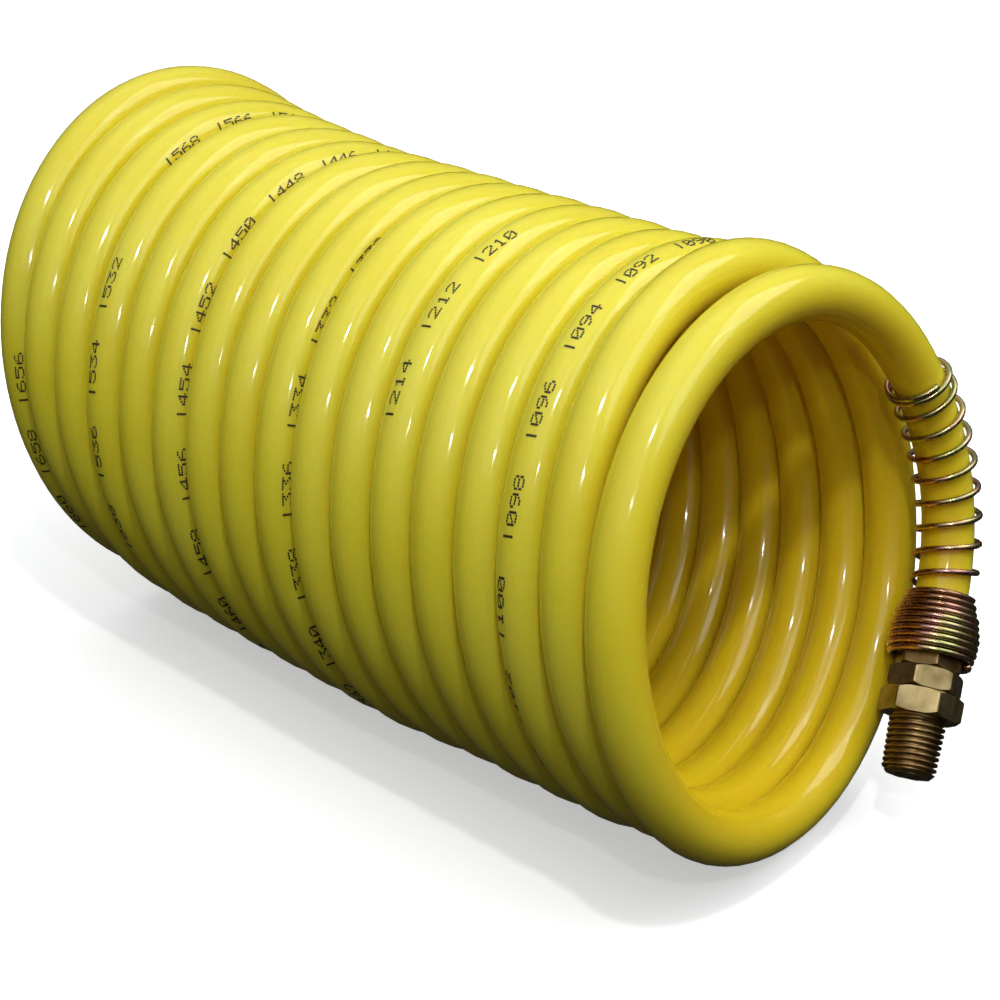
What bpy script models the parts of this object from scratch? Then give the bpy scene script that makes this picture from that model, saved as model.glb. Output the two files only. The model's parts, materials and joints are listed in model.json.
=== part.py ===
"""Self-coiling nylon air hose, lying on its side, with a swivel pipe fitting at each end.

Units are metres and +Z is up. The coil's axis runs along Y. Every turn of the coil leans back
a little, as a soft coil does when it lies on a bench.
"""

import math

import bmesh
import bpy
from mathutils import Matrix, Vector

MM = 0.001
GAP = 0.3 * MM                     # clearance left between pieces that touch

# Hose
HOSE_OD = 12.7 * MM                # 1/2 in outside
HOSE_ID = 9.5 * MM                 # 3/8 in bore
HOSE_RADIUS = HOSE_OD / 2

# Coil
COIL_RADIUS = 62.0 * MM            # to the middle of the hose
COIL_TURNS = 16.75
COIL_PITCH = 13.2 * MM             # along Y, turn to turn
LEAN_BACK = 0.224                  # y per unit of height
LEAN_SIDE = 0.123                  # y per unit of x
COIL_HEIGHT = COIL_RADIUS + HOSE_RADIUS
COIL_START_Y = -COIL_PITCH * COIL_TURNS / 2
FIRST_RING_TURN = 0.5              # the ring stands for the turns from here
LAST_RING_TURN = 16.0              # to here, and the hose tails are the rest
RING_STEPS = 72

# Front tail, from the coil down to the front fitting
FRONT_COIL_ARC = math.radians(170)
FRONT_BEND_RADIUS = 42.0 * MM
FRONT_BEND_ARC = math.radians(48)
FRONT_PUSH = 4.2 * MM              # how far the first loop springs out in front
FRONT_LIFT = 4.0 * MM              # and how far it springs up
FRONT_SPRING_LENGTH = 150.0 * MM

# Rear tail, from the coil along the bench to the rear fitting
REAR_LIFT_ANGLE = math.radians(9)
REAR_LEVEL_LENGTH = 52.0 * MM
REAR_STRAIGHT_LENGTH = 14.0 * MM

# Fitting stations, measured along its axis from the start of the spring's bell to the tip
HOSE_END = 14.0 * MM
SOCKET_START = 3.2 * MM
SOCKET_SHOULDER = 14.9 * MM
SOCKET_END = 18.3 * MM
BODY_START = 18.6 * MM
BODY_END = 23.7 * MM
HEX_START = 24.1 * MM
HEX_END = 30.1 * MM
THREAD_END = 44.2 * MM
INSERT_START = -3.0 * MM
INSERT_END = 20.2 * MM

SOCKET_HEX = 14.3 * MM             # across flats, 9/16 in
BODY_HEX = 15.875 * MM             # 5/8 in
NIPPLE_HEX = 17.46 * MM            # 11/16 in
HEX_CHAMFER = 0.8 * MM
SOCKET_HEX_TURN = math.radians(10)  # how far each hexagon happens to be turned
BODY_HEX_TURN = math.radians(41)
NIPPLE_HEX_TURN = math.radians(44)
BORE_RADIUS = 3.2 * MM
STEM_RADIUS = HOSE_ID / 2 - GAP
INSERT_THREAD_RADIUS = 5.3 * MM
FLANGE_RADIUS = 6.1 * MM
NECK_RADIUS = 4.9 * MM
CAVITY_START = 20.5 * MM
CAVITY_END = 23.0 * MM
FLANGE_START = 21.3 * MM
FLANGE_END = 22.0 * MM
WASHER_THICKNESS = 0.4 * MM
SEAL_RADIUS = 4.4 * MM
SEAL_WIRE = 0.6 * MM

# 1/4-18 NPT thread
THREAD_MAJOR = 13.716 * MM
THREAD_PITCH = 25.4 * MM / 18
THREAD_DEPTH = 0.9 * MM
THREAD_TAPER = 1 / 16              # on the diameter
THREAD_RIDGES = 9
TIP_CHAMFER = 1.0 * MM

# Spring guard
WIRE = 1.5 * MM
GUARD_RADIUS = 8.3 * MM            # outside of the open coils
GUARD_LENGTH = 55.0 * MM
GUARD_TURNS = 8.5
END_TURNS = 1.25                   # closed turns at the free end
BELL_LENGTH = 16.2 * MM
BELL_TURNS = 10
GUARD_STEPS = 12                   # points on each turn
BELL_PROFILE = (                   # share of the bell's length, outside radius
    (0.00, 8.3 * MM),
    (0.15, 9.1 * MM),
    (0.35, 10.3 * MM),
    (0.60, 11.0 * MM),
    (0.80, 10.9 * MM),
    (1.00, 10.2 * MM),
)

TURN_STEPS = 24
ROUTE_STEP = 1.0 * MM              # spacing of the samples along a tail
TUBE_SPACING = 6                   # samples between two points of a tail's tube


def clear_scene():
    for old in list(bpy.data.objects):
        bpy.data.objects.remove(old, do_unlink=True)


def new_collection(name):
    collection = bpy.data.collections.new(name)
    bpy.context.scene.collection.children.link(collection)
    return collection


def make_material(name, colour, roughness, metallic=0.0):
    material = bpy.data.materials.new(name)
    material.use_nodes = True
    shader = material.node_tree.nodes["Principled BSDF"]
    shader.inputs["Base Color"].default_value = (*colour, 1.0)
    shader.inputs["Roughness"].default_value = roughness
    shader.inputs["Metallic"].default_value = metallic
    material.diffuse_color = (*colour, 1.0)
    return material


def smooth_shade(mesh):
    mesh.shade_smooth()
    mesh.set_sharp_from_angle(angle=math.radians(35))


def add_screw(obj, steps):
    screw = obj.modifiers.new("Turn", "SCREW")
    screw.axis = "Z"
    screw.angle = 2 * math.pi
    screw.steps = steps
    screw.render_steps = steps
    screw.use_merge_vertices = True
    screw.merge_threshold = 0.00001
    screw.use_smooth_shade = True


def turned(name, outline, collection, material=None, steps=TURN_STEPS):
    """A ring turned about local Z from a closed outline of (radius, z) points.

    The outline runs down its outer side, top to bottom, and back up its bore.
    """
    mesh = bpy.data.meshes.new(name)
    points = [(radius, 0.0, z) for radius, z in outline]
    edges = [(i, (i + 1) % len(points)) for i in range(len(points))]
    mesh.from_pydata(points, edges, [])
    obj = bpy.data.objects.new(name, mesh)
    collection.objects.link(obj)
    if material:
        mesh.materials.append(material)
    add_screw(obj, steps)
    return obj


def baked(obj):
    """Swap an object for a plain mesh of its evaluated shape."""
    graph = bpy.context.evaluated_depsgraph_get()
    mesh = bpy.data.meshes.new_from_object(obj.evaluated_get(graph))
    obj.modifiers.clear()
    obj.data = mesh
    return obj


def cut_hexagon(obj, across_flats, turn, start, end, cutters):
    """Cut six wrench flats on a turned piece between two stations."""
    corner = across_flats / 2 / math.cos(math.pi / 6)
    outer = corner + 6 * MM
    outline = [(outer, end), (outer, start), (corner, start), (corner, end)]
    cutter = turned(obj.name + "_flats", outline, cutters, steps=6)
    cutter.hide_render = True
    cutter.display_type = "WIRE"
    cutter.rotation_euler.z = turn
    cutter.parent = obj
    flats = obj.modifiers.new("Flats", "BOOLEAN")
    flats.operation = "DIFFERENCE"
    flats.solver = "EXACT"
    flats.object = cutter


def tube(name, points, radius, collection, material, resolution):
    curve = bpy.data.curves.new(name, "CURVE")
    curve.dimensions = "3D"
    curve.bevel_depth = radius
    curve.bevel_resolution = resolution
    curve.use_fill_caps = True
    spline = curve.splines.new("POLY")
    spline.points.add(len(points) - 1)
    for spot, point in zip(spline.points, points):
        spot.co = (*point, 1.0)
    curve.materials.append(material)
    obj = bpy.data.objects.new(name, curve)
    collection.objects.link(obj)
    return obj


def ease(share):
    share = min(max(share, 0.0), 1.0)
    return share * share * (3 - 2 * share)


def leaned(x, plane_y, z):
    """World place of a point of the coil, whose turns lean."""
    return Vector((x, plane_y + LEAN_SIDE * x + LEAN_BACK * z, z + COIL_HEIGHT))


def walk(x, z, heading, stretches, plane_y, lift=0.0):
    """Places along a hose tail, one each ROUTE_STEP.

    A stretch is (length, curvature); plane_y gives the y of the turn's plane at a distance.
    """
    places = [leaned(x, plane_y(0.0), z)]
    travelled = 0.0
    for length, curvature in stretches:
        steps = max(1, round(length / ROUTE_STEP))
        step = length / steps
        for _ in range(steps):
            heading += curvature * step / 2
            x += step * math.cos(heading)
            z += step * math.sin(heading)
            heading += curvature * step / 2
            travelled += step
            rise = Vector((0, 0, lift * ease(travelled / FRONT_SPRING_LENGTH)))
            places.append(leaned(x, plane_y(travelled), z) + rise)
    return places


def front_route():
    """From the near side of the first turn, over the top and down to the fitting."""
    slope = COIL_PITCH / (2 * math.pi * COIL_RADIUS)
    start = COIL_START_Y + FIRST_RING_TURN * COIL_PITCH

    def plane_y(distance):
        return start - slope * distance - FRONT_PUSH * ease(distance / FRONT_SPRING_LENGTH)

    stretches = [
        (COIL_RADIUS * FRONT_COIL_ARC, -1 / COIL_RADIUS),
        (FRONT_BEND_RADIUS * FRONT_BEND_ARC, -1 / FRONT_BEND_RADIUS),
        (HOSE_END, 0.0),
    ]
    return walk(-COIL_RADIUS, 0.0, math.pi / 2, stretches, plane_y, FRONT_LIFT)


def rear_route():
    """From the last full turn, round to the bench and out along it."""
    slope = COIL_PITCH / (2 * math.pi * COIL_RADIUS)
    start = COIL_START_Y + LAST_RING_TURN * COIL_PITCH
    coil_length = COIL_RADIUS * (1.5 * math.pi + REAR_LIFT_ANGLE)

    def plane_y(distance):
        return start + slope * min(distance, coil_length)

    stretches = [
        (coil_length, 1 / COIL_RADIUS),
        (REAR_LEVEL_LENGTH, -REAR_LIFT_ANGLE / REAR_LEVEL_LENGTH),
        (REAR_STRAIGHT_LENGTH + HOSE_END, 0.0),
    ]
    return walk(COIL_RADIUS, 0.0, math.pi / 2, stretches, plane_y)


def fitting_frame(route):
    """Matrix at the start of the bell, with local Z along the hose towards the tip."""
    end = route[-1]
    direction = (end - route[-1 - round(HOSE_END / ROUTE_STEP / 2)]).normalized()
    turn = direction.to_track_quat("Z", "Y").to_matrix().to_4x4()
    return Matrix.Translation(end - direction * HOSE_END) @ turn


def add_axis(name, matrix, collection):
    empty = bpy.data.objects.new(name, None)
    empty.empty_display_size = 20 * MM
    empty.matrix_world = matrix
    collection.objects.link(empty)
    return empty


def hose_coil(collection, material):
    """The turns that lie side by side, as one leaning ring."""
    oblique = math.sqrt(1 + LEAN_BACK ** 2 + LEAN_SIDE ** 2)
    margin = HOSE_RADIUS * oblique + GAP
    front = COIL_START_Y + FIRST_RING_TURN * COIL_PITCH + margin
    rear = COIL_START_Y + LAST_RING_TURN * COIL_PITCH - margin
    outer = COIL_RADIUS + HOSE_RADIUS
    inner = COIL_RADIUS - HOSE_RADIUS
    outline = [(outer, rear), (outer, front), (inner, front), (inner, rear)]
    coil = baked(turned("hose_coil", outline, collection, material, steps=RING_STEPS))
    lay_down = Matrix.Rotation(-math.pi / 2, 4, "X")
    lean = Matrix.Identity(4)
    lean[1][0] = LEAN_SIDE
    lean[1][2] = LEAN_BACK
    coil.data.transform(lean @ lay_down)
    smooth_shade(coil.data)
    coil.location.z = COIL_HEIGHT
    return coil


def solid_mesh(obj, collection):
    """Make a curve object a closed mesh object in its place."""
    graph = bpy.context.evaluated_depsgraph_get()
    mesh = bpy.data.meshes.new_from_object(obj.evaluated_get(graph))
    shell = bmesh.new()
    shell.from_mesh(mesh)
    bmesh.ops.remove_doubles(shell, verts=shell.verts, dist=0.00001)
    shell.to_mesh(mesh)
    shell.free()
    name = obj.name
    matrix = obj.matrix_world.copy()
    bpy.data.objects.remove(obj)
    solid = bpy.data.objects.new(name, mesh)
    solid.matrix_world = matrix
    collection.objects.link(solid)
    smooth_shade(mesh)
    return solid


def hose_tail(end, route, frame, parts, cutters, material):
    """Plain tube along a tail, bored where the fitting's stem goes in."""
    points = route[::TUBE_SPACING]
    points[-1] = route[-1]
    curve = tube(end + "_hose_tail", points, HOSE_RADIUS, parts, material, resolution=3)
    tail = solid_mesh(curve, parts)
    bore = HOSE_ID / 2
    top = HOSE_END + 2 * MM
    bottom = INSERT_START - MM
    outline = [(0.0, top), (bore, top), (bore, bottom), (0.0, bottom)]
    cutter = turned(end + "_tail_bore", outline, cutters, steps=24)
    cutter.hide_render = True
    cutter.display_type = "WIRE"
    cutter.matrix_world = frame
    cutter.parent = tail
    hole = tail.modifiers.new("Stem bore", "BOOLEAN")
    hole.operation = "DIFFERENCE"
    hole.solver = "EXACT"
    hole.object = cutter
    return tail


def bell_radius(share):
    for (low, small), (high, large) in zip(BELL_PROFILE, BELL_PROFILE[1:]):
        if share <= high:
            return small + (large - small) * (share - low) / (high - low)
    return BELL_PROFILE[-1][1]


def guard_station(turn):
    """Distance along the fitting's axis and wire radius at a turn, counted from the free end."""
    wire_radius = GUARD_RADIUS - WIRE / 2
    closed_pitch = WIRE * 1.06
    if turn < END_TURNS:
        return -GUARD_LENGTH + turn * closed_pitch, wire_radius
    turn -= END_TURNS
    open_start = -GUARD_LENGTH + END_TURNS * closed_pitch
    if turn < GUARD_TURNS:
        return open_start * (1 - turn / GUARD_TURNS), wire_radius
    share = min((turn - GUARD_TURNS) / BELL_TURNS, 1.0)
    return share * BELL_LENGTH, bell_radius(share) - WIRE / 2


def spring_guard(end, route, frame, collection, material):
    """Wire guard: open coils round the bending hose, then a closed bell on the socket."""
    bell_index = len(route) - 1 - round(HOSE_END / ROUTE_STEP)
    side = frame.to_3x3() @ Vector((1, 0, 0))
    axis = frame.to_3x3() @ Vector((0, 0, 1))
    points = []
    turns = END_TURNS + GUARD_TURNS + BELL_TURNS
    for step in range(round(turns * GUARD_STEPS) + 1):
        turn = step / GUARD_STEPS
        station, radius = guard_station(turn)
        if station < 0:
            index = bell_index + station / ROUTE_STEP
            low = int(index)
            centre = route[low].lerp(route[low + 1], index - low)
            along = (route[low + 1] - route[low - 1]).normalized()
        else:
            centre = frame.translation + axis * station
            along = axis
        across = (side - along * side.dot(along)).normalized()
        upright = along.cross(across)
        angle = 2 * math.pi * turn
        points.append(centre + across * radius * math.cos(angle) + upright * radius * math.sin(angle))
    return tube(end + "_spring_guard", points, WIRE / 2, collection, material, resolution=1)


def hose_socket(end, axis, parts, cutters, material):
    """Outer clamp: it grips the hose and the spring's bell snaps over its shoulder."""
    hex_corner = SOCKET_HEX / 2 / math.cos(math.pi / 6)
    seat = HOSE_RADIUS + GAP
    bore = INSERT_THREAD_RADIUS + GAP
    outline = [
        (hex_corner - HEX_CHAMFER, SOCKET_END),
        (hex_corner, SOCKET_END - HEX_CHAMFER),
        (hex_corner, SOCKET_SHOULDER),
        (8.6 * MM, 13.0 * MM),
        (8.6 * MM, 8.0 * MM),
        (7.5 * MM, SOCKET_START),
        (seat, SOCKET_START),
        (seat, HOSE_END + GAP),
        (bore, HOSE_END + GAP),
        (bore, SOCKET_END),
    ]
    socket = turned(end + "_hose_socket", outline, parts, material)
    socket.parent = axis
    cut_hexagon(socket, SOCKET_HEX, SOCKET_HEX_TURN, SOCKET_SHOULDER, SOCKET_END + MM, cutters)
    return socket


def hose_insert(end, axis, parts, material):
    """Barbed stem inside the hose; its thread joins the socket to the swivel body."""
    outline = [(INSERT_THREAD_RADIUS, INSERT_END), (INSERT_THREAD_RADIUS, HOSE_END + 2 * GAP)]
    outline.append((STEM_RADIUS - 0.4 * MM, HOSE_END + 2 * GAP))
    barb_pitch = 3.4 * MM
    for barb in range(4):
        station = HOSE_END - 1.5 * MM - barb * barb_pitch
        outline.append((STEM_RADIUS, station))
        outline.append((STEM_RADIUS - 0.5 * MM, station - barb_pitch * 0.8))
    outline.append((STEM_RADIUS - 0.8 * MM, INSERT_START))
    outline.append((BORE_RADIUS, INSERT_START))
    outline.append((BORE_RADIUS, INSERT_END))
    insert = turned(end + "_hose_insert", outline, parts, material)
    insert.parent = axis
    return insert


def swivel_body(end, axis, parts, cutters, material):
    """Upper hexagon: it screws on the insert and traps the nipple's flange."""
    corner = BODY_HEX / 2 / math.cos(math.pi / 6)
    bore = INSERT_THREAD_RADIUS + GAP
    cavity = FLANGE_RADIUS + GAP
    lip = NECK_RADIUS + GAP
    outline = [
        (corner - HEX_CHAMFER, BODY_END),
        (corner, BODY_END - HEX_CHAMFER),
        (corner, BODY_START + HEX_CHAMFER),
        (corner - HEX_CHAMFER, BODY_START),
        (bore, BODY_START),
        (bore, CAVITY_START),
        (cavity, CAVITY_START),
        (cavity, CAVITY_END),
        (lip, CAVITY_END),
        (lip, BODY_END),
    ]
    body = turned(end + "_swivel_body", outline, parts, material)
    body.parent = axis
    cut_hexagon(body, BODY_HEX, BODY_HEX_TURN, BODY_START - MM, BODY_END + MM, cutters)
    return body


def thrust_washer(end, axis, parts, material):
    top = CAVITY_END - GAP
    bottom = top - WASHER_THICKNESS
    outer = FLANGE_RADIUS
    inner = NECK_RADIUS + GAP
    outline = [(outer, top), (outer, bottom), (inner, bottom), (inner, top)]
    washer = turned(end + "_thrust_washer", outline, parts, material)
    washer.parent = axis
    return washer


def swivel_seal(end, axis, parts, material):
    """O-ring between the insert's end and the nipple's flange."""
    middle = (INSERT_END + FLANGE_START) / 2
    sides = 10
    outline = []
    for side in range(sides):
        angle = -2 * math.pi * side / sides
        radius = SEAL_RADIUS + SEAL_WIRE / 2 * math.cos(angle)
        outline.append((radius, middle + SEAL_WIRE / 2 * math.sin(angle)))
    seal = turned(end + "_swivel_seal", outline, parts, material)
    seal.parent = axis
    return seal


def thread_outline():
    """Tapered thread's outer side, tip first, as rings at the real pitch."""
    outline = []
    start = HEX_END + 0.6 * MM
    for ridge in reversed(range(THREAD_RIDGES + 1)):
        station = start + (ridge + 0.5) * THREAD_PITCH
        crest = THREAD_MAJOR / 2 - (station - start) * THREAD_TAPER / 2
        if station < THREAD_END - TIP_CHAMFER:
            outline.append((crest - THREAD_DEPTH, station + THREAD_PITCH * 0.45))
            outline.append((crest, station))
    outline.append((THREAD_MAJOR / 2 - THREAD_DEPTH, start))
    outline.append((THREAD_MAJOR / 2 - THREAD_DEPTH, HEX_END))
    return outline


def npt_nipple(end, swivel, parts, cutters, material):
    """Lower hexagon and male pipe thread, with the neck and flange that turn in the body."""
    corner = NIPPLE_HEX / 2 / math.cos(math.pi / 6)
    tip_radius = THREAD_MAJOR / 2 - THREAD_DEPTH - TIP_CHAMFER / 2
    outline = [(tip_radius, THREAD_END)]
    outline += thread_outline()
    outline += [
        (corner - HEX_CHAMFER, HEX_END),
        (corner, HEX_END - HEX_CHAMFER),
        (corner, HEX_START + HEX_CHAMFER),
        (corner - HEX_CHAMFER, HEX_START),
        (NECK_RADIUS, HEX_START),
        (NECK_RADIUS, FLANGE_END),
        (FLANGE_RADIUS, FLANGE_END),
        (FLANGE_RADIUS, FLANGE_START),
        (BORE_RADIUS, FLANGE_START),
        (BORE_RADIUS, THREAD_END),
    ]
    nipple = turned(end + "_npt_nipple", outline, parts, material)
    nipple.parent = swivel
    cut_hexagon(nipple, NIPPLE_HEX, NIPPLE_HEX_TURN, HEX_START - GAP, HEX_END, cutters)
    return nipple


def hose_end(end, route, parts, cutters, materials):
    """One tail of the hose with its fitting."""
    frame = fitting_frame(route)
    hose_tail(end, route, frame, parts, cutters, materials["nylon"])
    axis = add_axis(end + "_fitting_axis", frame, parts)
    swivel = add_axis(end + "_swivel_axis", frame, parts)
    spring_guard(end, route, frame, parts, materials["plated_wire"])
    hose_socket(end, axis, parts, cutters, materials["brass"])
    hose_insert(end, axis, parts, materials["brass"])
    swivel_body(end, axis, parts, cutters, materials["brass"])
    thrust_washer(end, axis, parts, materials["washer"])
    swivel_seal(end, axis, parts, materials["seal"])
    npt_nipple(end, swivel, parts, cutters, materials["brass"])


def centre_on_origin(collection):
    """Move the whole hose so that its box stands centred on the origin."""
    bpy.context.view_layer.update()
    graph = bpy.context.evaluated_depsgraph_get()
    low = Vector((math.inf, math.inf, math.inf))
    high = -low
    for obj in collection.objects:
        if obj.type == "EMPTY":
            continue
        shape = obj.evaluated_get(graph)
        for vertex in shape.to_mesh().vertices:
            place = obj.matrix_world @ vertex.co
            low = Vector(map(min, low, place))
            high = Vector(map(max, high, place))
        shape.to_mesh_clear()
    middle = (low + high) / 2
    for obj in collection.objects:
        if obj.parent is None:
            obj.location.x -= middle.x
            obj.location.y -= middle.y


def main():
    clear_scene()
    parts = new_collection("recoil_air_hose")
    cutters = new_collection("cutters")
    materials = {
        "nylon": make_material("nylon", (0.68, 0.60, 0.055), 0.22),
        "brass": make_material("brass", (0.58, 0.42, 0.19), 0.32, 1.0),
        "plated_wire": make_material("plated_wire", (0.55, 0.42, 0.33), 0.28, 1.0),
        "washer": make_material("washer", (0.80, 0.79, 0.75), 0.45),
        "seal": make_material("seal", (0.02, 0.02, 0.02), 0.6),
    }
    hose_coil(parts, materials["nylon"])
    hose_end("front", front_route(), parts, cutters, materials)
    hose_end("rear", rear_route(), parts, cutters, materials)
    centre_on_origin(parts)


main()
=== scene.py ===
import bisect
import json
import math

import bpy
from mathutils import Matrix, Vector


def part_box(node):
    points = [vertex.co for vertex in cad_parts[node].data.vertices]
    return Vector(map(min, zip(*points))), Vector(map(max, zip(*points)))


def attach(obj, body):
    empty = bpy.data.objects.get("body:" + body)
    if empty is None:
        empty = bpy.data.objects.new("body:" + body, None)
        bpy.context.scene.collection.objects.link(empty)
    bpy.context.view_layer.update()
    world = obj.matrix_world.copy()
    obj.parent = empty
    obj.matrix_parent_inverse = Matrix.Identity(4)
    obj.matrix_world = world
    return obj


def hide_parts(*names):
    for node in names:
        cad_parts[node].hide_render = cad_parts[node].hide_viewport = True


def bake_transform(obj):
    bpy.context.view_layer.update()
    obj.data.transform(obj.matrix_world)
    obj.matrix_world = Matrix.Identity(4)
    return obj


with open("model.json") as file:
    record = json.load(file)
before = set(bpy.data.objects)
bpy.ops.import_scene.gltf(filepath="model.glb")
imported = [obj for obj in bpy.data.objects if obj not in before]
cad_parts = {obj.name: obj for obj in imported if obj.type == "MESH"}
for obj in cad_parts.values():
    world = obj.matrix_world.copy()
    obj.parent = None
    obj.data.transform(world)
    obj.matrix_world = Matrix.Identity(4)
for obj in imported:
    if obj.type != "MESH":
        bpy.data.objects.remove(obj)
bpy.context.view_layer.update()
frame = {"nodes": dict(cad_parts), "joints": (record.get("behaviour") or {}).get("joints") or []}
mm = 0.001
print("frame loaded")


# Camera, a little above the bench and off the near end of the coil
viewPoint = {
    "azimuth": math.radians(-44.27),
    "elevation": math.radians(24.43),
    "distance": 0.586,
    "lens": 82.2,
    "shift": (0.0492, -0.0576),
    "target": Vector((-0.0259, 0.0052, 0.0695)),
}


def addCamera(settings):
    azimuth, elevation = settings["azimuth"], settings["elevation"]
    level = math.cos(elevation)
    back = Vector((math.sin(azimuth) * level, -math.cos(azimuth) * level, math.sin(elevation)))
    data = bpy.data.cameras.new("viewCamera")
    data.lens = settings["lens"]
    data.sensor_width = 36
    data.clip_start = 0.01
    data.shift_x, data.shift_y = settings["shift"]
    camera = bpy.data.objects.new("viewCamera", data)
    camera.location = settings["target"] + back * settings["distance"]
    camera.rotation_euler = back.to_track_quat("Z", "Y").to_euler()
    bpy.context.scene.collection.objects.link(camera)
    bpy.context.scene.camera = camera


addCamera(viewPoint)


# The hose's route repeats the solid hose's own numbers
hose = {
    "radius": 6.35 * mm,
    "coilRadius": 62.0 * mm,        # to the middle of the hose
    "turns": 16.75,
    "pitch": 13.2 * mm,
    "leanBack": 0.224,              # y per unit of height
    "leanSide": 0.123,              # y per unit of x
    "firstTurn": 0.5,               # the tails are outside these two
    "lastTurn": 16.0,
    "frontCoilArc": math.radians(170),
    "frontBendRadius": 42.0 * mm,
    "frontBendArc": math.radians(48),
    "frontPush": 4.2 * mm,
    "frontLift": 4.0 * mm,
    "frontSpringLength": 150.0 * mm,
    "rearLiftAngle": math.radians(9),
    "rearLevelLength": 52.0 * mm,
    "rearStraightLength": 14.0 * mm,
    "endLength": 14.0 * mm,         # inside the socket
    "tailStep": 1.0 * mm,
    "tailSkip": 4,                  # a ring at every fourth step of a tail
    "ringsPerTurn": 72,
    "sides": 24,
    "strays": [                     # turn, and mm wider, higher and further back than a true coil
        (-0.10, 0.0, 0.0, 0.0),
        (0.25, 0.0, 1.2, 0.0),
        (0.50, 0.25, 4.5, 0.0),
        (0.75, -0.45, 6.6, 0.9),
        (1.10, 0.0, 6.6, 0.8),
        (1.60, -1.0, 5.1, 0.5),
        (3.00, -0.85, 2.9, 0.0),
        (5.00, -0.55, 2.2, 0.0),
        (8.00, 0.4, 0.4, 0.0),
        (11.00, 0.1, 0.1, 0.0),
        (13.50, 0.6, 1.3, 0.0),
        (15.00, 1.3, 3.3, 0.0),
        (16.00, 0.6, 7.6, 0.0),
        (16.40, -1.0, 8.5, 0.0),
        (16.85, 0.0, 0.0, 0.0),
    ],
}

coilLow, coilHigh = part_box("hose_coil")
coilHeight = hose["coilRadius"] + hose["radius"]
coilStartY = -hose["pitch"] * hose["turns"] / 2
ringMiddleY = coilStartY + hose["pitch"] * (hose["firstTurn"] + hose["lastTurn"]) / 2
coilMiddle = (coilLow + coilHigh) / 2
coilShift = Vector((coilMiddle.x, coilMiddle.y - ringMiddleY, 0))
coilAxis = coilShift + Vector((0, 0, coilHeight))


def ease(share):
    share = min(max(share, 0.0), 1.0)
    return share * share * (3 - 2 * share)


def strayAt(turn):
    for here, there in zip(hose["strays"], hose["strays"][1:]):
        if turn <= there[0]:
            share = ease((turn - here[0]) / (there[0] - here[0]))
            return [(a + (b - a) * share) * mm for a, b in zip(here[1:], there[1:])]
    return 0.0, 0.0, 0.0


def placeOnTurn(x, planeY, z, turn, lift=0.0):
    wider, higher, further = strayAt(turn)
    grow = 1 + wider / math.hypot(x, z)
    x, z = x * grow, z * grow
    y = planeY + hose["leanSide"] * x + hose["leanBack"] * z
    return Vector((x, y + further, z + higher + lift)) + coilAxis


def walkTail(x, z, stretches, turnAt, planeAt, lift=0.0):
    heading = math.pi / 2
    travelled = 0.0
    places = [(placeOnTurn(x, planeAt(0.0), z, turnAt(0.0)), turnAt(0.0))]
    for length, curvature in stretches:
        steps = max(1, round(length / hose["tailStep"]))
        step = length / steps
        for _ in range(steps):
            heading += curvature * step / 2
            x += step * math.cos(heading)
            z += step * math.sin(heading)
            heading += curvature * step / 2
            travelled += step
            turn = turnAt(travelled)
            rise = lift * ease(travelled / hose["frontSpringLength"])
            places.append((placeOnTurn(x, planeAt(travelled), z, turn, rise), turn))
    kept = places[::hose["tailSkip"]]
    kept[-1] = places[-1]
    return kept


def hoseRoute():
    radius = hose["coilRadius"]
    around = 2 * math.pi * radius
    slope = hose["pitch"] / around
    frontStart = coilStartY + hose["firstTurn"] * hose["pitch"]
    rearStart = coilStartY + hose["lastTurn"] * hose["pitch"]
    rearArc = radius * (1.5 * math.pi + hose["rearLiftAngle"])

    def frontPlane(distance):
        push = hose["frontPush"] * ease(distance / hose["frontSpringLength"])
        return frontStart - slope * distance - push

    def rearPlane(distance):
        return rearStart + slope * min(distance, rearArc)

    frontStretches = [
        (radius * hose["frontCoilArc"], -1 / radius),
        (hose["frontBendRadius"] * hose["frontBendArc"], -1 / hose["frontBendRadius"]),
        (hose["endLength"], 0.0),
    ]
    rearStretches = [
        (rearArc, 1 / radius),
        (hose["rearLevelLength"], -hose["rearLiftAngle"] / hose["rearLevelLength"]),
        (hose["rearStraightLength"] + hose["endLength"], 0.0),
    ]
    front = walkTail(-radius, 0.0, frontStretches,
                     lambda distance: hose["firstTurn"] - distance / around, frontPlane, hose["frontLift"])
    rear = walkTail(radius, 0.0, rearStretches,
                    lambda distance: hose["lastTurn"] + distance / around, rearPlane)
    coil = []
    span = hose["lastTurn"] - hose["firstTurn"]
    steps = round(span * hose["ringsPerTurn"])
    for step in range(1, steps):
        turn = hose["firstTurn"] + span * step / steps
        angle = 2 * math.pi * turn
        x, z = radius * math.cos(angle), radius * math.sin(angle)
        coil.append((placeOnTurn(x, coilStartY + turn * hose["pitch"], z, turn), turn))
    return list(reversed(front)) + coil + rear


route = hoseRoute()
routePoints = [point for point, turn in route]
routeTurns = [turn for point, turn in route]
routeLengths = [0.0]
for here, there in zip(routePoints, routePoints[1:]):
    routeLengths.append(routeLengths[-1] + (there - here).length)


def framesAlong(points, outwardAt):
    frames = []
    for index, point in enumerate(points):
        before = points[max(index - 1, 0)]
        after = points[min(index + 1, len(points) - 1)]
        along = (after - before).normalized()
        outward = outwardAt(index)
        outward = (outward - along * outward.dot(along)).normalized()
        frames.append((point, along, outward, along.cross(outward)))
    return frames


def outwardFromCoil(index):
    away = routePoints[index] - coilAxis
    return Vector((away.x, 0, away.z))


hoseFrames = framesAlong(routePoints, outwardFromCoil)


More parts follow.
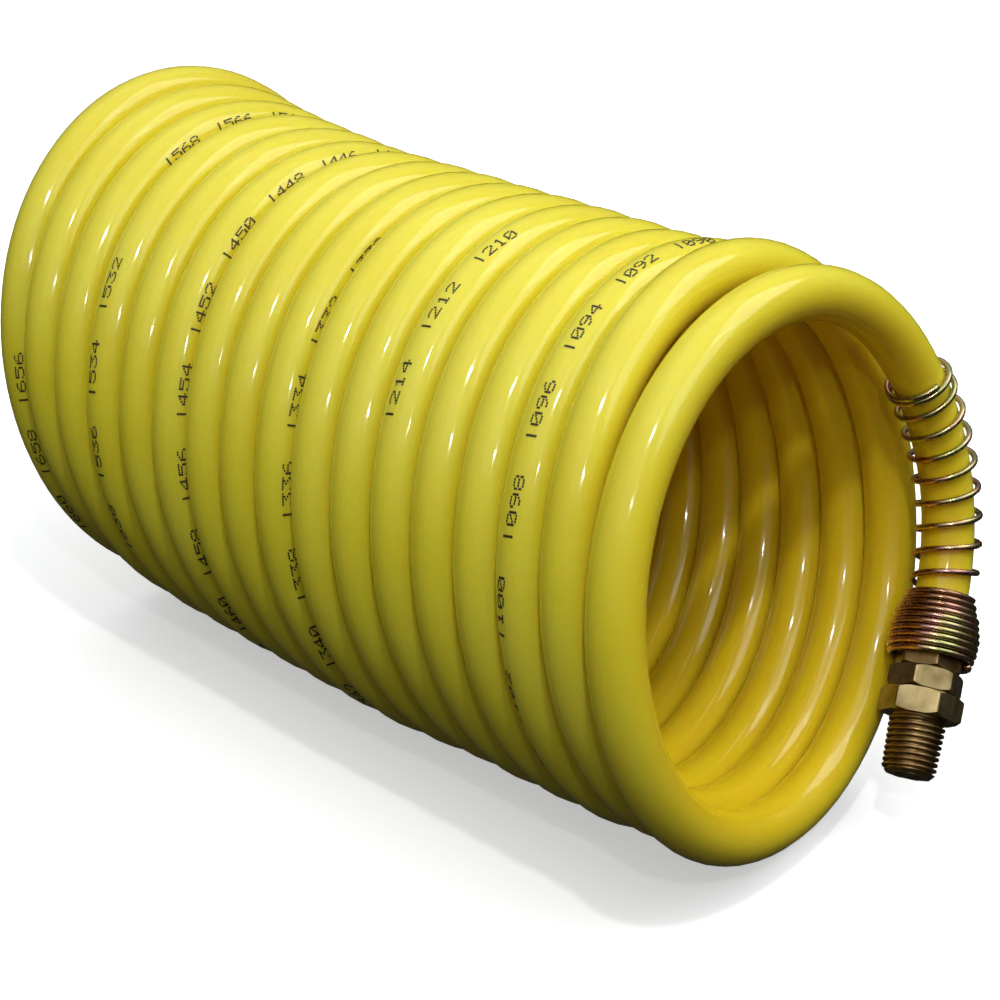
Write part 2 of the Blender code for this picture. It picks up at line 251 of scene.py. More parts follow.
def sweepTube(name, frames, radius, sides, lengths):
    vertices, faces, uvs = [], [], []
    for point, along, outward, across in frames:
        for side in range(sides):
            angle = 2 * math.pi * side / sides
            vertices.append(point + (outward * math.cos(angle) + across * math.sin(angle)) * radius)
    for ring in range(len(frames) - 1):
        for side in range(sides):
            here = ring * sides + side
            beside = ring * sides + (side + 1) % sides
            faces.append((here, beside, beside + sides, here + sides))
            corners = ((ring, side), (ring, side + 1), (ring + 1, side + 1), (ring + 1, side))
            uvs += [(column / sides, lengths[row] / radius) for row, column in corners]
    last = (len(frames) - 1) * sides
    faces += [tuple(reversed(range(sides))), tuple(range(last, last + sides))]
    uvs += [(0.0, 0.0)] * (2 * sides)
    mesh = bpy.data.meshes.new(name)
    mesh.from_pydata(vertices, [], faces)
    layer = mesh.uv_layers.new(name="UVMap")
    for loop, uv in zip(layer.data, uvs):
        loop.uv = uv
    mesh.shade_smooth()
    mesh.update()
    tube = bpy.data.objects.new(name, mesh)
    bpy.context.scene.collection.objects.link(tube)
    return tube


airHose = sweepTube("airHose", hoseFrames, hose["radius"], hose["sides"], routeLengths)
print("hose made, metres long:", round(routeLengths[-1], 3))



# Bakes each piece's placement into its mesh
def stretchWithCoil(piece):
    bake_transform(piece)


stretchWithCoil(airHose)
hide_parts("hose_coil", "front_hose_tail", "rear_hose_tail")


# Materials
def newMaterial(name, colour, roughness, metallic=0.0):
    material = bpy.data.materials.new(name)
    material.use_nodes = True
    shader = material.node_tree.nodes["Principled BSDF"]
    shader.inputs["Base Color"].default_value = (*colour, 1)
    shader.inputs["Roughness"].default_value = roughness
    shader.inputs["Metallic"].default_value = metallic
    return material, material.node_tree, shader


def addNode(tree, kind, **settings):
    node = tree.nodes.new(kind)
    for key, value in settings.items():
        if key in node.inputs:
            node.inputs[key].default_value = value
        else:
            setattr(node, key, value)
    return node


def addNoise(tree, coordinates, scale, stretch=(1, 1, 1), detail=4.0):
    mapping = addNode(tree, "ShaderNodeMapping", Scale=stretch)
    noise = addNode(tree, "ShaderNodeTexNoise", Scale=scale, Detail=detail)
    tree.links.new(coordinates, mapping.inputs["Vector"])
    tree.links.new(mapping.outputs["Vector"], noise.inputs["Vector"])
    return noise.outputs["Fac"]


def addRamp(tree, value, stops):
    ramp = addNode(tree, "ShaderNodeValToRGB")
    while len(ramp.color_ramp.elements) < len(stops):
        ramp.color_ramp.elements.new(0.5)
    for element, (place, colour) in zip(ramp.color_ramp.elements, stops):
        element.position = place
        element.color = (*colour, 1) if isinstance(colour, tuple) else (colour, colour, colour, 1)
    tree.links.new(value, ramp.inputs["Fac"])
    return ramp.outputs["Color"]


# Noise mostly lies between 0.3 and 0.7
def addRange(tree, value, low, high):
    scaled = addNode(tree, "ShaderNodeMapRange")
    scaled.inputs["From Min"].default_value = 0.3
    scaled.inputs["From Max"].default_value = 0.7
    scaled.inputs["To Min"].default_value = low
    scaled.inputs["To Max"].default_value = high
    tree.links.new(value, scaled.inputs["Value"])
    return scaled.outputs["Result"]


def addBump(tree, height, strength, distance, below=None):
    bump = addNode(tree, "ShaderNodeBump", Strength=strength, Distance=distance)
    tree.links.new(height, bump.inputs["Height"])
    if below:
        tree.links.new(below, bump.inputs["Normal"])
    return bump.outputs["Normal"]


nylon = {
    "colour": (0.78, 0.68, 0.040),
    "deep": (0.76, 0.64, 0.030),
    "pale": (0.79, 0.70, 0.060),
    "paintedShadeAmber": (0.77, 0.55, 0.016),   # painted shade: darker amber where the wall faces the middle of the coil
    "plainRoughness": 0.2,          # the socket's own value, under the grain linked to it
    "roughness": (0.07, 0.14),
    "cloudScale": 22,
    "grainScale": 900,
    "lineBump": (0.22, 0.12 * mm),  # strength, depth
    "grainBump": (0.05, 0.05 * mm),
    "paintedShadeStops": [(0.14, 0.0), (0.36, 1.0), (0.64, 1.0), (0.86, 0.0)],     # way round, share of the painted shade amber
    "refraction": 1.53,
    "glow": 0.45,
    "glowReach": (8.0 * mm, 4.4 * mm, 0.3 * mm),
    "drawLines": (46, 0.6, 1),      # fine round the hose and long down it
}


def makeNylon():
    material, tree, shader = newMaterial("yellowNylon", nylon["colour"], nylon["plainRoughness"])
    place = addNode(tree, "ShaderNodeTexCoord")
    broad = addNoise(tree, place.outputs["Object"], nylon["cloudScale"])
    drawn = addNoise(tree, place.outputs["UV"], 1.0, stretch=nylon["drawLines"], detail=3)
    fine = addNoise(tree, place.outputs["Object"], nylon["grainScale"], detail=3)
    colour = addRamp(tree, broad, [(0.3, nylon["deep"]), (0.5, nylon["colour"]), (0.75, nylon["pale"])])
    # Painted shade: the hose's inner wall and the sides against its neighbours turn darker amber, set by
    # the way round the hose
    split = addNode(tree, "ShaderNodeSeparateXYZ")
    tree.links.new(place.outputs["UV"], split.inputs["Vector"])
    paintedShadeShare = addRamp(tree, split.outputs["X"], nylon["paintedShadeStops"])
    paintedShadeBlend = addNode(tree, "ShaderNodeMix", data_type="RGBA")
    tree.links.new(paintedShadeShare, paintedShadeBlend.inputs["Factor"])
    tree.links.new(colour, paintedShadeBlend.inputs["A"])
    paintedShadeBlend.inputs["B"].default_value = (*nylon["paintedShadeAmber"], 1)
    tree.links.new(paintedShadeBlend.outputs["Result"], shader.inputs["Base Color"])
    low, high = nylon["roughness"]
    tree.links.new(addRange(tree, fine, low, high), shader.inputs["Roughness"])
    lines = addBump(tree, drawn, *nylon["lineBump"])
    tree.links.new(addBump(tree, fine, *nylon["grainBump"], lines), shader.inputs["Normal"])
    shader.inputs["IOR"].default_value = nylon["refraction"]
    shader.inputs["Subsurface Weight"].default_value = nylon["glow"]
    shader.inputs["Subsurface Radius"].default_value = nylon["glowReach"]
    shader.inputs["Subsurface Scale"].default_value = 1.0
    return material


airHose.data.materials.append(makeNylon())


brass = {
    "cloudScale": 260,
    "roughness": (0.28, 0.48),
}


def makeBrass(name, colour, dark, along):
    material, tree, shader = newMaterial(name, colour, 0.3, 1.0)
    place = addNode(tree, "ShaderNodeAttribute", attribute_name="asTurned")
    broad = addNoise(tree, place.outputs["Vector"], brass["cloudScale"], detail=5)
    stretch = (2600, 2600, 90) if along else (60, 60, 5200)
    marks = addNoise(tree, place.outputs["Vector"], 1.0, stretch=stretch, detail=3)
    tree.links.new(addRamp(tree, broad, [(0.32, dark), (0.62, colour)]), shader.inputs["Base Color"])
    tree.links.new(addRange(tree, marks, *brass["roughness"]), shader.inputs["Roughness"])
    tree.links.new(addBump(tree, marks, 0.25, 0.05 * mm), shader.inputs["Normal"])
    return material


brassFlats = makeBrass("drawnBrass", (0.40, 0.31, 0.15), (0.25, 0.18, 0.08), True)
brassTurned = makeBrass("turnedBrass", (0.33, 0.22, 0.09), (0.19, 0.11, 0.04), False)


plating = {
    "cloudScale": 75,
    "drawLines": (14, 0.8, 1),
    "roughness": (0.16, 0.34),
}


def makePlatedWire():
    material, tree, shader = newMaterial("platedWire", (0.6, 0.45, 0.25), 0.25, 1.0)
    place = addNode(tree, "ShaderNodeTexCoord")
    cloud = addNoise(tree, place.outputs["Object"], plating["cloudScale"], detail=2)
    streaks = addNoise(tree, place.outputs["UV"], 1.0, stretch=plating["drawLines"], detail=3)
    colour = addRamp(tree, cloud, [
        (0.30, (0.30, 0.16, 0.09)),
        (0.42, (0.52, 0.28, 0.24)),
        (0.52, (0.56, 0.40, 0.20)),
        (0.60, (0.36, 0.37, 0.14)),
        (0.70, (0.55, 0.33, 0.31)),
    ])
    tree.links.new(colour, shader.inputs["Base Color"])
    tree.links.new(addRange(tree, streaks, *plating["roughness"]), shader.inputs["Roughness"])
    tree.links.new(addBump(tree, streaks, 0.1, 0.03 * mm), shader.inputs["Normal"])
    return material


platedWire = makePlatedWire()


# Fittings: stations are along each fitting's axis, from the start of the spring's bell to the tip
fitting = {
    "collarLip": (6.9 * mm, 0.3 * mm),      # radius, height over the shoulder
    "collarTop": 7.6 * mm,
    "collarSide": [                 # radius, station
        (8.45 * mm, 13.2 * mm), (8.6 * mm, 12.8 * mm),
        (8.6 * mm, 8.2 * mm), (8.4 * mm, 7.7 * mm),
    ],
    "collarFoot": (7.5 * mm, 0.4 * mm),     # radius, height over the mouth
    "collarMouth": 7.1 * mm,
    "socketStart": 3.2 * mm,
    "socketShoulder": 14.9 * mm,
    "socketEnd": 18.3 * mm,
    "socketHex": 14.3 * mm,         # across flats
    "socketTurn": math.radians(10),
    "bodyStart": 18.6 * mm,
    "bodyEnd": 23.7 * mm,
    "bodyHex": 15.875 * mm,
    "bodyTurn": math.radians(41),
    "hexStart": 24.1 * mm,
    "hexEnd": 30.1 * mm,
    "nippleHex": 17.46 * mm,
    "nippleTurn": math.radians(60),
    "threadEnd": 44.2 * mm,
    "chamfer": 0.8 * mm,
    "bore": 3.2 * mm,
    "seat": 6.65 * mm,
    "insertBore": 5.6 * mm,
    "neck": 4.9 * mm,
    "flange": 6.1 * mm,
    "flangeStart": 21.3 * mm,
    "flangeEnd": 22.0 * mm,
    "cavityStart": 20.5 * mm,
    "cavityEnd": 23.0 * mm,
    "clearance": 0.3 * mm,
    "noseSink": 0.6 * mm,           # the socket's hexagon starts inside its collar
    "boreEase": 0.5 * mm,
    "hexEdge": 0.3 * mm,            # bevel of the upright edges
    "socketBar": (10 * mm, 20 * mm),        # ends of the hexagonal bar that each is cut from
    "bodyBar": (10 * mm, 30 * mm),
    "nippleBar": (10 * mm, 60 * mm),
    "around": 96,
}

joints = {joint["name"]: joint for joint in frame["joints"]}


def fittingPlace(jointName):
    joint = joints[jointName]
    turn = Vector(joint["axis"]).to_track_quat("Z", "Y").to_matrix().to_4x4()
    return Matrix.Translation(Vector(joint["pos_m"])) @ turn


fittingPlaces = {"front": fittingPlace("front_swivel"), "rear": fittingPlace("rear_swivel")}


def pickOnly(piece):
    bpy.ops.object.select_all(action="DESELECT")
    piece.select_set(True)
    bpy.context.view_layer.objects.active = piece


def turnOnLathe(name, outline):
    bpy.ops.object.select_all(action="DESELECT")
    radius, station = outline[0]
    bpy.ops.mesh.primitive_circle_add(vertices=fitting["around"], radius=radius, location=(0, 0, station))
    piece = bpy.context.object
    piece.name = piece.data.name = name
    bpy.ops.object.transform_apply(location=True)
    bpy.ops.object.mode_set(mode="EDIT")
    bpy.ops.mesh.select_all(action="SELECT")
    for nextRadius, nextStation in outline[1:] + outline[:1]:
        bpy.ops.mesh.extrude_edges_move(
            TRANSFORM_OT_translate={"value": (0, 0, nextStation - station)})
        grow = nextRadius / radius
        bpy.ops.transform.resize(value=(grow, grow, 1), center_override=(0, 0, nextStation))
        radius, station = nextRadius, nextStation
    bpy.ops.mesh.select_all(action="SELECT")
    bpy.ops.mesh.remove_doubles(threshold=0.002 * mm)
    bpy.ops.mesh.normals_make_consistent(inside=False)
    bpy.ops.object.mode_set(mode="OBJECT")
    return piece


def hexCorner(acrossFlats):
    return acrossFlats / 2 / math.cos(math.pi / 6)


def cutToHexagon(piece, acrossFlats, turn, start, end):
    bpy.ops.object.select_all(action="DESELECT")
    bpy.ops.mesh.primitive_cylinder_add(
        vertices=6, radius=hexCorner(acrossFlats), depth=end - start,
        location=(0, 0, (start + end) / 2), rotation=(0, 0, turn + math.pi / 2))
    bar = bpy.context.object
    bpy.ops.object.transform_apply(location=True, rotation=True)
    bpy.ops.object.mode_set(mode="EDIT")
    bpy.ops.mesh.select_mode(type="EDGE")
    bpy.ops.mesh.select_all(action="DESELECT")
    bpy.ops.object.mode_set(mode="OBJECT")
    for edge in bar.data.edges:
        a, b = (bar.data.vertices[index].co for index in edge.vertices)
        edge.select = abs(a.z - b.z) > (end - start) / 2
    bpy.ops.object.mode_set(mode="EDIT")
    bpy.ops.mesh.bevel(offset=fitting["hexEdge"], segments=3, affect="EDGES")
    bpy.ops.object.mode_set(mode="OBJECT")
    pickOnly(piece)
    cut = piece.modifiers.new("hexagonBar", "BOOLEAN")
    cut.operation = "INTERSECT"
    cut.solver = "EXACT"
    cut.object = bar
    bpy.ops.object.modifier_apply(modifier=cut.name)
    bpy.data.objects.remove(bar, do_unlink=True)


def joinPieces(first, *others):
    bpy.ops.object.select_all(action="DESELECT")
    for piece in (first, *others):
        piece.select_set(True)
    bpy.context.view_layer.objects.active = first
    bpy.ops.object.join()
    return first


def fitOnHose(piece, end, body, node):
    keep = piece.data.attributes.new("asTurned", "FLOAT_VECTOR", "POINT")
    for spot, vertex in zip(keep.data, piece.data.vertices):
        spot.vector = vertex.co
    pickOnly(piece)
    bpy.ops.object.shade_smooth_by_angle(angle=math.radians(28))
    piece.matrix_world = fittingPlaces[end]
    bpy.ops.object.transform_apply(location=True, rotation=True, scale=True)
    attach(piece, body)
    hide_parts(node)


def makeSocket(end):
    corner = hexCorner(fitting["socketHex"])
    chamfer = fitting["chamfer"]
    noseStart = fitting["socketShoulder"] - fitting["noseSink"]
    lipRadius, lipHeight = fitting["collarLip"]
    footRadius, footHeight = fitting["collarFoot"]
    collar = turnOnLathe(end + "HoseSocket", [
        (lipRadius, fitting["socketShoulder"] + lipHeight),
        (fitting["collarTop"], fitting["socketShoulder"]),
        *fitting["collarSide"],
        (footRadius, fitting["socketStart"] + footHeight),
        (fitting["collarMouth"], fitting["socketStart"]),
        (fitting["seat"], fitting["socketStart"]),
        (fitting["seat"], fitting["socketShoulder"] + lipHeight),
    ])
    nose = turnOnLathe("socketNose", [
        (corner - chamfer, fitting["socketEnd"]),
        (corner, fitting["socketEnd"] - chamfer * 0.7),
        (corner, noseStart),
        (fitting["insertBore"], noseStart),
        (fitting["insertBore"], fitting["socketEnd"]),
    ])
    cutToHexagon(nose, fitting["socketHex"], fitting["socketTurn"], *fitting["socketBar"])
    return joinPieces(collar, nose)


def makeBody(end):
    corner = hexCorner(fitting["bodyHex"])
    chamfer = fitting["chamfer"]
    start, finish = fitting["bodyStart"], fitting["bodyEnd"]
    body = turnOnLathe(end + "SwivelBody", [
        (corner - chamfer * 1.2, finish),
        (corner, finish - chamfer * 0.8),
        (corner, start + chamfer * 0.8),
        (corner - chamfer * 1.2, start),
        (fitting["insertBore"], start),
        (fitting["insertBore"], fitting["cavityStart"]),
        (fitting["flange"] + fitting["clearance"], fitting["cavityStart"]),
        (fitting["flange"] + fitting["clearance"], fitting["cavityEnd"]),
        (fitting["neck"] + fitting["clearance"], fitting["cavityEnd"]),
        (fitting["neck"] + fitting["clearance"], finish),
    ])
    cutToHexagon(body, fitting["bodyHex"], fitting["bodyTurn"], *fitting["bodyBar"])
    return body


thread = {
    "major": 13.716 * mm,
    "pitch": 25.4 * mm / 18,
    "depth": 0.95 * mm,
    "taper": 1 / 16,                # on the diameter
    "relief": 1.0 * mm,             # plain band by the hexagon
    "reliefShare": 0.35,            # of the depth
    "tipDrop": 0.15 * mm,           # the tip's cone ends below the thread's root
    "tipSlope": 0.9,
    "rowsPerPitch": 8,
    "flank": (0.0, 0.28, 0.92, 1.0, 1.0, 0.92, 0.28, 0.0),      # share of the depth at each row
}


def threadRadius(station, share):
    start, end = fitting["hexEnd"], fitting["threadEnd"]
    crest = thread["major"] / 2 - (station - start) * thread["taper"] / 2
    root = crest - thread["depth"]
    fade = ease((station - start) / thread["relief"])
    radius = root + thread["depth"] * (share * fade + thread["reliefShare"] * (1 - fade))
    tipCrest = thread["major"] / 2 - (end - start) * thread["taper"] / 2
    tipRoot = tipCrest - thread["depth"] - thread["tipDrop"]
    cone = tipRoot + (end - station) * thread["tipSlope"]
    return max(min(radius, cone), tipRoot)


# A sheet whose rows climb one pitch on the way round, rolled up and cut square at both ends
def makeThread():
    start, end = fitting["hexEnd"], fitting["threadEnd"]
    around = fitting["around"]
    rows = int((end - start) / thread["pitch"] + 3) * thread["rowsPerPitch"]
    bpy.ops.object.select_all(action="DESELECT")
    bpy.ops.mesh.primitive_grid_add(x_subdivisions=around, y_subdivisions=rows, size=1, location=(0, 0, 0))
    sleeve = bpy.context.object
    for vertex in sleeve.data.vertices:
        column = round((vertex.co.x + 0.5) * around)
        row = round((vertex.co.y + 0.5) * rows)
        angle = 2 * math.pi * column / around
        station = start + (row / thread["rowsPerPitch"] - 2 + column / around) * thread["pitch"]
        radius = threadRadius(station, thread["flank"][row % thread["rowsPerPitch"]])
        vertex.co = (radius * math.cos(angle), radius * math.sin(angle), station)
    pickOnly(sleeve)
    bpy.ops.object.mode_set(mode="EDIT")
    bpy.ops.mesh.select_all(action="SELECT")
    bpy.ops.mesh.remove_doubles(threshold=0.002 * mm)
    for station, outer in ((start - 0.1 * mm, False), (end, True)):
        bpy.ops.mesh.select_all(action="SELECT")
        bpy.ops.mesh.bisect(plane_co=(0, 0, station), plane_no=(0, 0, 1),
                            clear_outer=outer, clear_inner=not outer)
    bpy.ops.mesh.select_all(action="SELECT")
    bpy.ops.mesh.normals_make_consistent(inside=False)
    bpy.ops.object.mode_set(mode="OBJECT")
    return sleeve


def makeNipple(end):
    corner = hexCorner(fitting["nippleHex"])
    chamfer = fitting["chamfer"]
    start, finish = fitting["hexStart"], fitting["hexEnd"]
    tip = threadRadius(fitting["threadEnd"], 0.0)
    core = turnOnLathe(end + "PipeNipple", [
        (tip, fitting["threadEnd"]),
        (tip, finish),
        (corner - chamfer * 1.4, finish),
        (corner, finish - chamfer * 0.9),
        (corner, start + chamfer * 0.9),
        (corner - chamfer * 1.4, start),
        (fitting["neck"], start),
        (fitting["neck"], fitting["flangeEnd"]),
        (fitting["flange"], fitting["flangeEnd"]),
        (fitting["flange"], fitting["flangeStart"]),
        (fitting["bore"], fitting["flangeStart"]),
        (fitting["bore"], fitting["threadEnd"] - fitting["boreEase"]),
        (fitting["bore"] + fitting["boreEase"], fitting["threadEnd"]),
    ])
    cutToHexagon(core, fitting["nippleHex"], fitting["nippleTurn"], *fitting["nippleBar"])
    core.data.materials.append(brassFlats)
    sleeve = makeThread()
    sleeve.data.materials.append(brassTurned)
    return joinPieces(core, sleeve)


for end in ("front", "rear"):
    socket = makeSocket(end)
    socket.data.materials.append(brassTurned)
    fitOnHose(socket, end, end + "_end", end + "_hose_socket")
    body = makeBody(end)
    body.data.materials.append(brassFlats)
    fitOnHose(body, end, end + "_end", end + "_swivel_body")
    nipple = makeNipple(end)
    fitOnHose(nipple, end, end + "_nipple", end + "_npt_nipple")
    print(end, "fitting made")


# Spring guards
guard = {
    "wire": 1.5 * mm,
    "radius": 8.3 * mm,             # outside of the open coils
    "length": 58.0 * mm,
    "turns": 8.5,
    "endTurns": 1.44,
    "bellLength": 16.2 * mm,
    "bellTurns": 10,
    "bell": [                       # share of its length, outside radius
        (0.0, 8.3 * mm), (0.15, 9.1 * mm), (0.35, 10.3 * mm),
        (0.6, 11.0 * mm), (0.8, 10.9 * mm), (1.0, 10.2 * mm),
    ],
    "closedPitch": 1.06,            # in wires
    "phase": math.radians(35),      # where the wire starts, round the hose
    "steps": 30,                    # points on each turn
    "sides": 10,
}


def bellRadius(share):
    for (low, small), (high, large) in zip(guard["bell"], guard["bell"][1:]):
        if share <= high:
            return small + (large - small) * ease((share - low) / (high - low))
    return guard["bell"][-1][1]


def guardStation(turn):
    wireRadius = guard["radius"] - guard["wire"] / 2
    closedPitch = guard["wire"] * guard["closedPitch"]
    openStart = -guard["length"] + guard["endTurns"] * closedPitch
    if turn < guard["endTurns"]:
        return -guard["length"] + turn * closedPitch, wireRadius
    turn -= guard["endTurns"]
    if turn < guard["turns"]:
        return openStart * (1 - turn / guard["turns"]), wireRadius
    share = min((turn - guard["turns"]) / guard["bellTurns"], 1.0)
    return share * guard["bellLength"], bellRadius(share) - guard["wire"] / 2


def hosePlace(length):
    index = min(max(bisect.bisect_right(routeLengths, length) - 1, 0), len(routeLengths) - 2)
    share = (length - routeLengths[index]) / (routeLengths[index + 1] - routeLengths[index])
    here, there = hoseFrames[index], hoseFrames[index + 1]
    return [a.lerp(b, share) for a, b in zip(here, there)]


def makeGuard(end):
    place = fittingPlaces[end]
    side = place.to_3x3() @ Vector((1, 0, 0))
    axis = place.to_3x3() @ Vector((0, 0, 1))
    points, outwards = [], []
    turns = guard["endTurns"] + guard["turns"] + guard["bellTurns"]
    for step in range(round(turns * guard["steps"]) + 1):
        turn = step / guard["steps"]
        station, radius = guardStation(turn)
        if station < 0 and end == "front":
            centre, along = hosePlace(hose["endLength"] - station)[:2]
            along = -along
        elif station < 0:
            centre, along = hosePlace(routeLengths[-1] - hose["endLength"] + station)[:2]
        else:
            centre, along = place.translation + axis * station, axis
        across = (side - along * side.dot(along)).normalized()
        upright = along.cross(across)
        angle = 2 * math.pi * turn + guard["phase"]
        outward = across * math.cos(angle) + upright * math.sin(angle)
        points.append(centre + outward * radius)
        outwards.append(outward)
    frames = framesAlong(points, lambda index: outwards[index])
    lengths = [0.0]
    for here, there in zip(points, points[1:]):
        lengths.append(lengths[-1] + (there - here).length)
    wire = sweepTube(end + "SpringGuard", frames, guard["wire"] / 2, guard["sides"], lengths)
    wire.data.materials.append(platedWire)
    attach(wire, end + "_end")
    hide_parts(end + "_spring_guard")


for end in ("front", "rear"):
    makeGuard(end)
print("guards made")


# Inner pieces keep their solids and take a finish
def dressNode(name, material):
    node = frame["nodes"][name]
    node.data.materials.clear()
    node.data.materials.append(material)


def makePlain(name, colour, roughness, metallic, grain):
    material, tree, shader = newMaterial(name, colour, roughness, metallic)
    place = addNode(tree, "ShaderNodeTexCoord")
    speck = addNoise(tree, place.outputs["Object"], grain)
    deeper = tuple(part * 0.8 for part in colour)
    tree.links.new(addRamp(tree, speck, [(0.35, deeper), (0.6, colour)]), shader.inputs["Base Color"])
    tree.links.new(addRange(tree, speck, roughness * 0.8, roughness * 1.2), shader.inputs["Roughness"])
    tree.links.new(addBump(tree, speck, 0.1, 0.03 * mm), shader.inputs["Normal"])
    return material


insertBrass = makePlain("insertBrass", (0.6, 0.42, 0.18), 0.3, 1.0, 1500)
washerPlastic = makePlain("washerPlastic", (0.8, 0.79, 0.75), 0.45, 0.0, 1200)
sealRubber = makePlain("sealRubber", (0.02, 0.02, 0.02), 0.6, 0.0, 2000)
for end in ("front", "rear"):
    dressNode(end + "_hose_insert", insertBrass)
    dressNode(end + "_thrust_washer", washerPlastic)
    dressNode(end + "_swivel_seal", sealRubber)


# Printed length scale: centimetre numbers and ticks, in dots of ink
inkPrint = {
    "dot": 0.29 * mm,
    "dotLong": 1.2,
    "dotWide": 0.8,
    "sink": 0.1 * mm,               # each dot's sides start inside the hose
    "rise": 0.03 * mm,
    "columnStep": 0.60 * mm,        # along the hose
    "rowStep": 0.37 * mm,           # around it
    "markStep": 3.5 * mm,
    "groupStep": 20.0 * mm,
    "runs": [                       # turn and angle round the hose, in degrees
        [(2.16, -12), (2.42, -6), (2.50, 22), (2.68, 60)],
        [(5.22, -25), (5.44, 12)],
        [(8.28, -76), (8.50, -62), (8.68, -28)],
        [(11.13, -36), (11.29, -60), (11.50, -60), (11.68, -26)],
        [(13.36, -4), (13.60, 6)],
        [(14.16, -58), (14.36, -70)],
        [(16.42, -40), (16.64, -18)],
    ],
    "marks": {
        "0": "01110 10001 10011 10101 11001 10001 01110",
        "1": "00100 01100 00100 00100 00100 00100 01110",
        "2": "01110 10001 00001 00010 00100 01000 11111",
        "3": "11111 00010 00100 00010 00001 10001 01110",
        "4": "00010 00110 01010 10010 11111 00010 00010",
        "5": "11111 10000 11110 00001 00001 10001 01110",
        "6": "00110 01000 10000 11110 10001 10001 01110",
        "7": "11111 00001 00010 00100 01000 01000 01000",
        "8": "01110 10001 10001 01110 10001 10001 01110",
        "9": "01110 10001 10001 01111 00001 00010 01100",
        "|": "00100 00100 00100 00100 00100 00100 00100",
    },
}


def turnLength(turn):
    index = min(max(bisect.bisect_right(routeTurns, turn) - 1, 0), len(routeTurns) - 2)
    share = (turn - routeTurns[index]) / (routeTurns[index + 1] - routeTurns[index])
    return routeLengths[index] + share * (routeLengths[index + 1] - routeLengths[index])


def addDot(vertices, faces, lengths, length, angle):
    point, along, outward, across = hosePlace(length)
    out = outward * math.cos(angle) + across * math.sin(angle)
    sideways = across * math.cos(angle) - outward * math.sin(angle)
    first = len(vertices)
    for reach in (hose["radius"] - inkPrint["sink"], hose["radius"] + inkPrint["rise"]):
        for corner in range(6):
            turn = math.pi / 3 * corner
            offset = along * math.cos(turn) * inkPrint["dotLong"]
            offset += sideways * math.sin(turn) * inkPrint["dotWide"]
            vertices.append(point + out * reach + offset * inkPrint["dot"])
            lengths.append(length)
    faces.append(tuple(reversed(range(first + 6, first + 12))))
    for corner in range(6):
        beside = (corner + 1) % 6
        faces.append((first + corner, first + 6 + corner, first + 6 + beside, first + beside))


def runAngle(spots, length):
    for (low, angle), (high, nextAngle) in zip(spots, spots[1:]):
        if length <= high:
            return angle + (nextAngle - angle) * ease((length - low) / (high - low))
    return spots[-1][1]


def inkedPlaces(marks):
    for place, mark in enumerate(marks):
        for row, dots in enumerate(inkPrint["marks"][mark].split()):
            for column, dot in enumerate(dots):
                if dot == "1":
                    yield place * inkPrint["markStep"] + column * inkPrint["columnStep"], row


def printScale():
    vertices, faces, lengths = [], [], []
    groupStep = inkPrint["groupStep"]
    for run in inkPrint["runs"]:
        spots = [(turnLength(turn), math.radians(angle)) for turn, angle in run]
        group = math.ceil(spots[0][0] / groupStep)
        while (group + 1) * groupStep < spots[-1][0]:
            marks = "|" + "{:03d}".format(round(group * groupStep * 100))
            for back, row in inkedPlaces(marks):
                length = (group + 1) * groupStep - back
                angle = runAngle(spots, length) + (3 - row) * inkPrint["rowStep"] / hose["radius"]
                addDot(vertices, faces, lengths, length, angle)
            group += 1
    mesh = bpy.data.meshes.new("printedScale")
    mesh.from_pydata(vertices, [], faces)
    mesh.update()
    scale = bpy.data.objects.new("printedScale", mesh)
    bpy.context.scene.collection.objects.link(scale)
    scale.data.materials.append(makePlain("printInk", (0.03, 0.024, 0.006), 0.6, 0.0, 1800))
    stretchWithCoil(scale)


printScale()
print("scale printed")


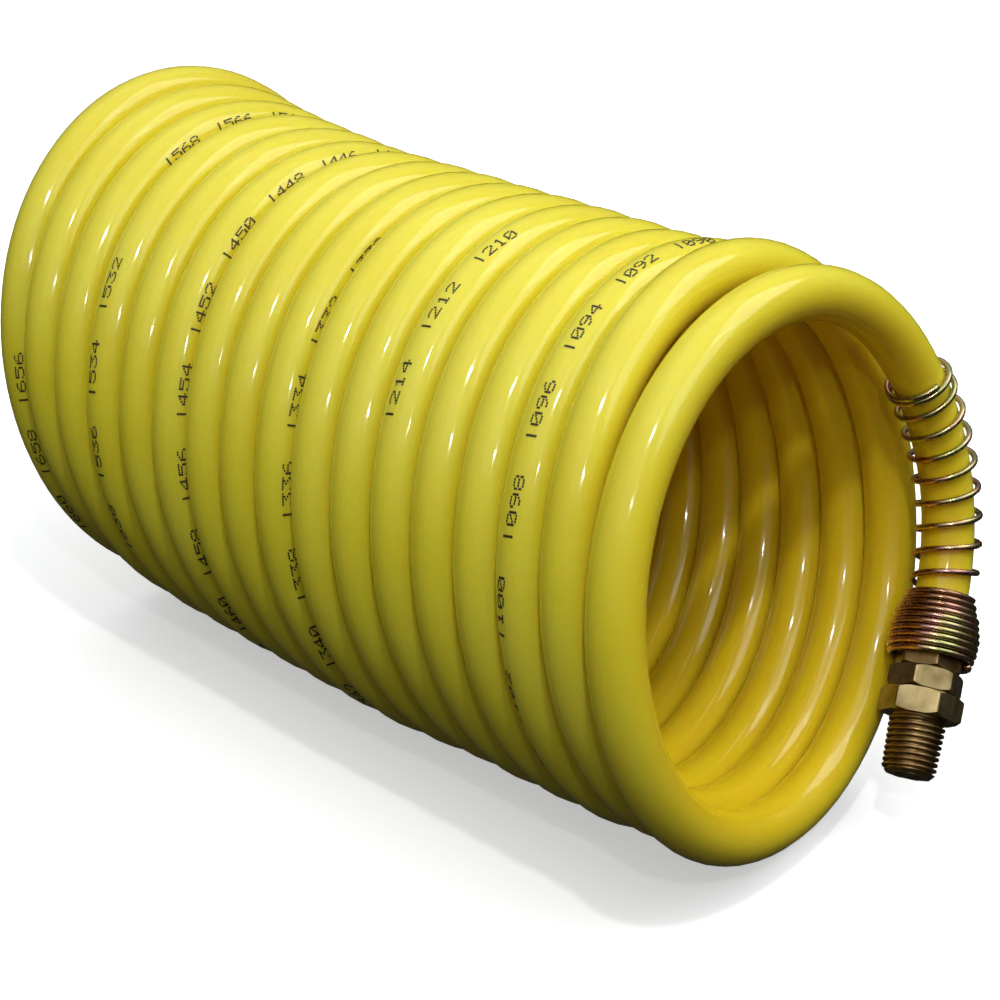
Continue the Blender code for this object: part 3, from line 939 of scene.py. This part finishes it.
# Bench and light
studio = {
    "floor": (0.93, 0.93, 0.92),
    "floorGlow": 0.45,
    "domeGlow": 0.75,
    "sky": 0.70,
    "skyLow": (0.0, 0.03),          # height, brightness
    "skyRise": (0.3, 0.3),
    "skyTop": (0.8, (0.94, 1.0, 1.0)),
    "lights": [                     # name, place, size, power
        ("leftSoftbox", (-0.80, -0.40, 1.25), (1.1, 1.1), 1.6),
        ("frontSoftbox", (0.25, -0.85, 1.0), (0.8, 0.6), 2.4),
        ("rightSoftbox", (0.75, -0.45, 1.05), (0.7, 0.7), 3.4),
        ("overheadSoftbox", (0.25, 0.1, 2.2), (2.2, 2.2), 7),
        ("upperSpark", (-0.36, -0.40, 0.95), (0.045, 0.045), 2.0),
        ("lowerSpark", (-0.53, -0.60, 0.66), (0.03, 0.03), 0.7),
    ],
    "lookAt": Vector((0, 0, 0.06)),
}


def lightSky():
    world = bpy.data.worlds.new("studioWorld")
    world.use_nodes = True
    tree = world.node_tree
    place = addNode(tree, "ShaderNodeTexCoord")
    split = addNode(tree, "ShaderNodeSeparateXYZ")
    tree.links.new(place.outputs["Generated"], split.inputs["Vector"])
    fade = addRamp(tree, split.outputs["Z"], [studio["skyLow"], studio["skyRise"], studio["skyTop"]])
    tree.links.new(fade, tree.nodes["Background"].inputs["Color"])
    tree.nodes["Background"].inputs["Strength"].default_value = studio["sky"]
    bpy.context.scene.world = world


# The bench and the dome behind it are seen, but throw no light back on the hose
def keepFromLighting(piece, glow):
    piece.visible_diffuse = False
    piece.visible_glossy = False
    material, tree, shader = newMaterial(piece.name + "Paper", studio["floor"], 0.8)
    shader.inputs["Emission Color"].default_value = (1, 1, 1, 1)
    shader.inputs["Emission Strength"].default_value = glow
    piece.data.materials.append(material)


def addBench():
    bpy.ops.object.select_all(action="DESELECT")
    bpy.ops.mesh.primitive_plane_add(size=24, location=(0, 0, 0))
    bench = bpy.context.object
    bench.name = "benchTop"
    keepFromLighting(bench, studio["floorGlow"])
    bpy.ops.object.select_all(action="DESELECT")
    bpy.ops.mesh.primitive_uv_sphere_add(radius=16, segments=48, ring_count=24)
    dome = bpy.context.object
    dome.name = "paleDome"
    dome.visible_shadow = False
    keepFromLighting(dome, studio["domeGlow"])


def addSoftLights():
    for name, place, (width, height), power in studio["lights"]:
        data = bpy.data.lights.new(name, "AREA")
        data.shape = "RECTANGLE"
        data.size, data.size_y = width, height
        data.energy = power
        light = bpy.data.objects.new(name, data)
        light.location = place
        light.rotation_euler = (Vector(place) - studio["lookAt"]).to_track_quat("Z", "Y").to_euler()
        bpy.context.scene.collection.objects.link(light)


bpy.context.scene.view_settings.view_transform = "Standard"
addBench()
lightSky()
addSoftLights()
print("studio set")
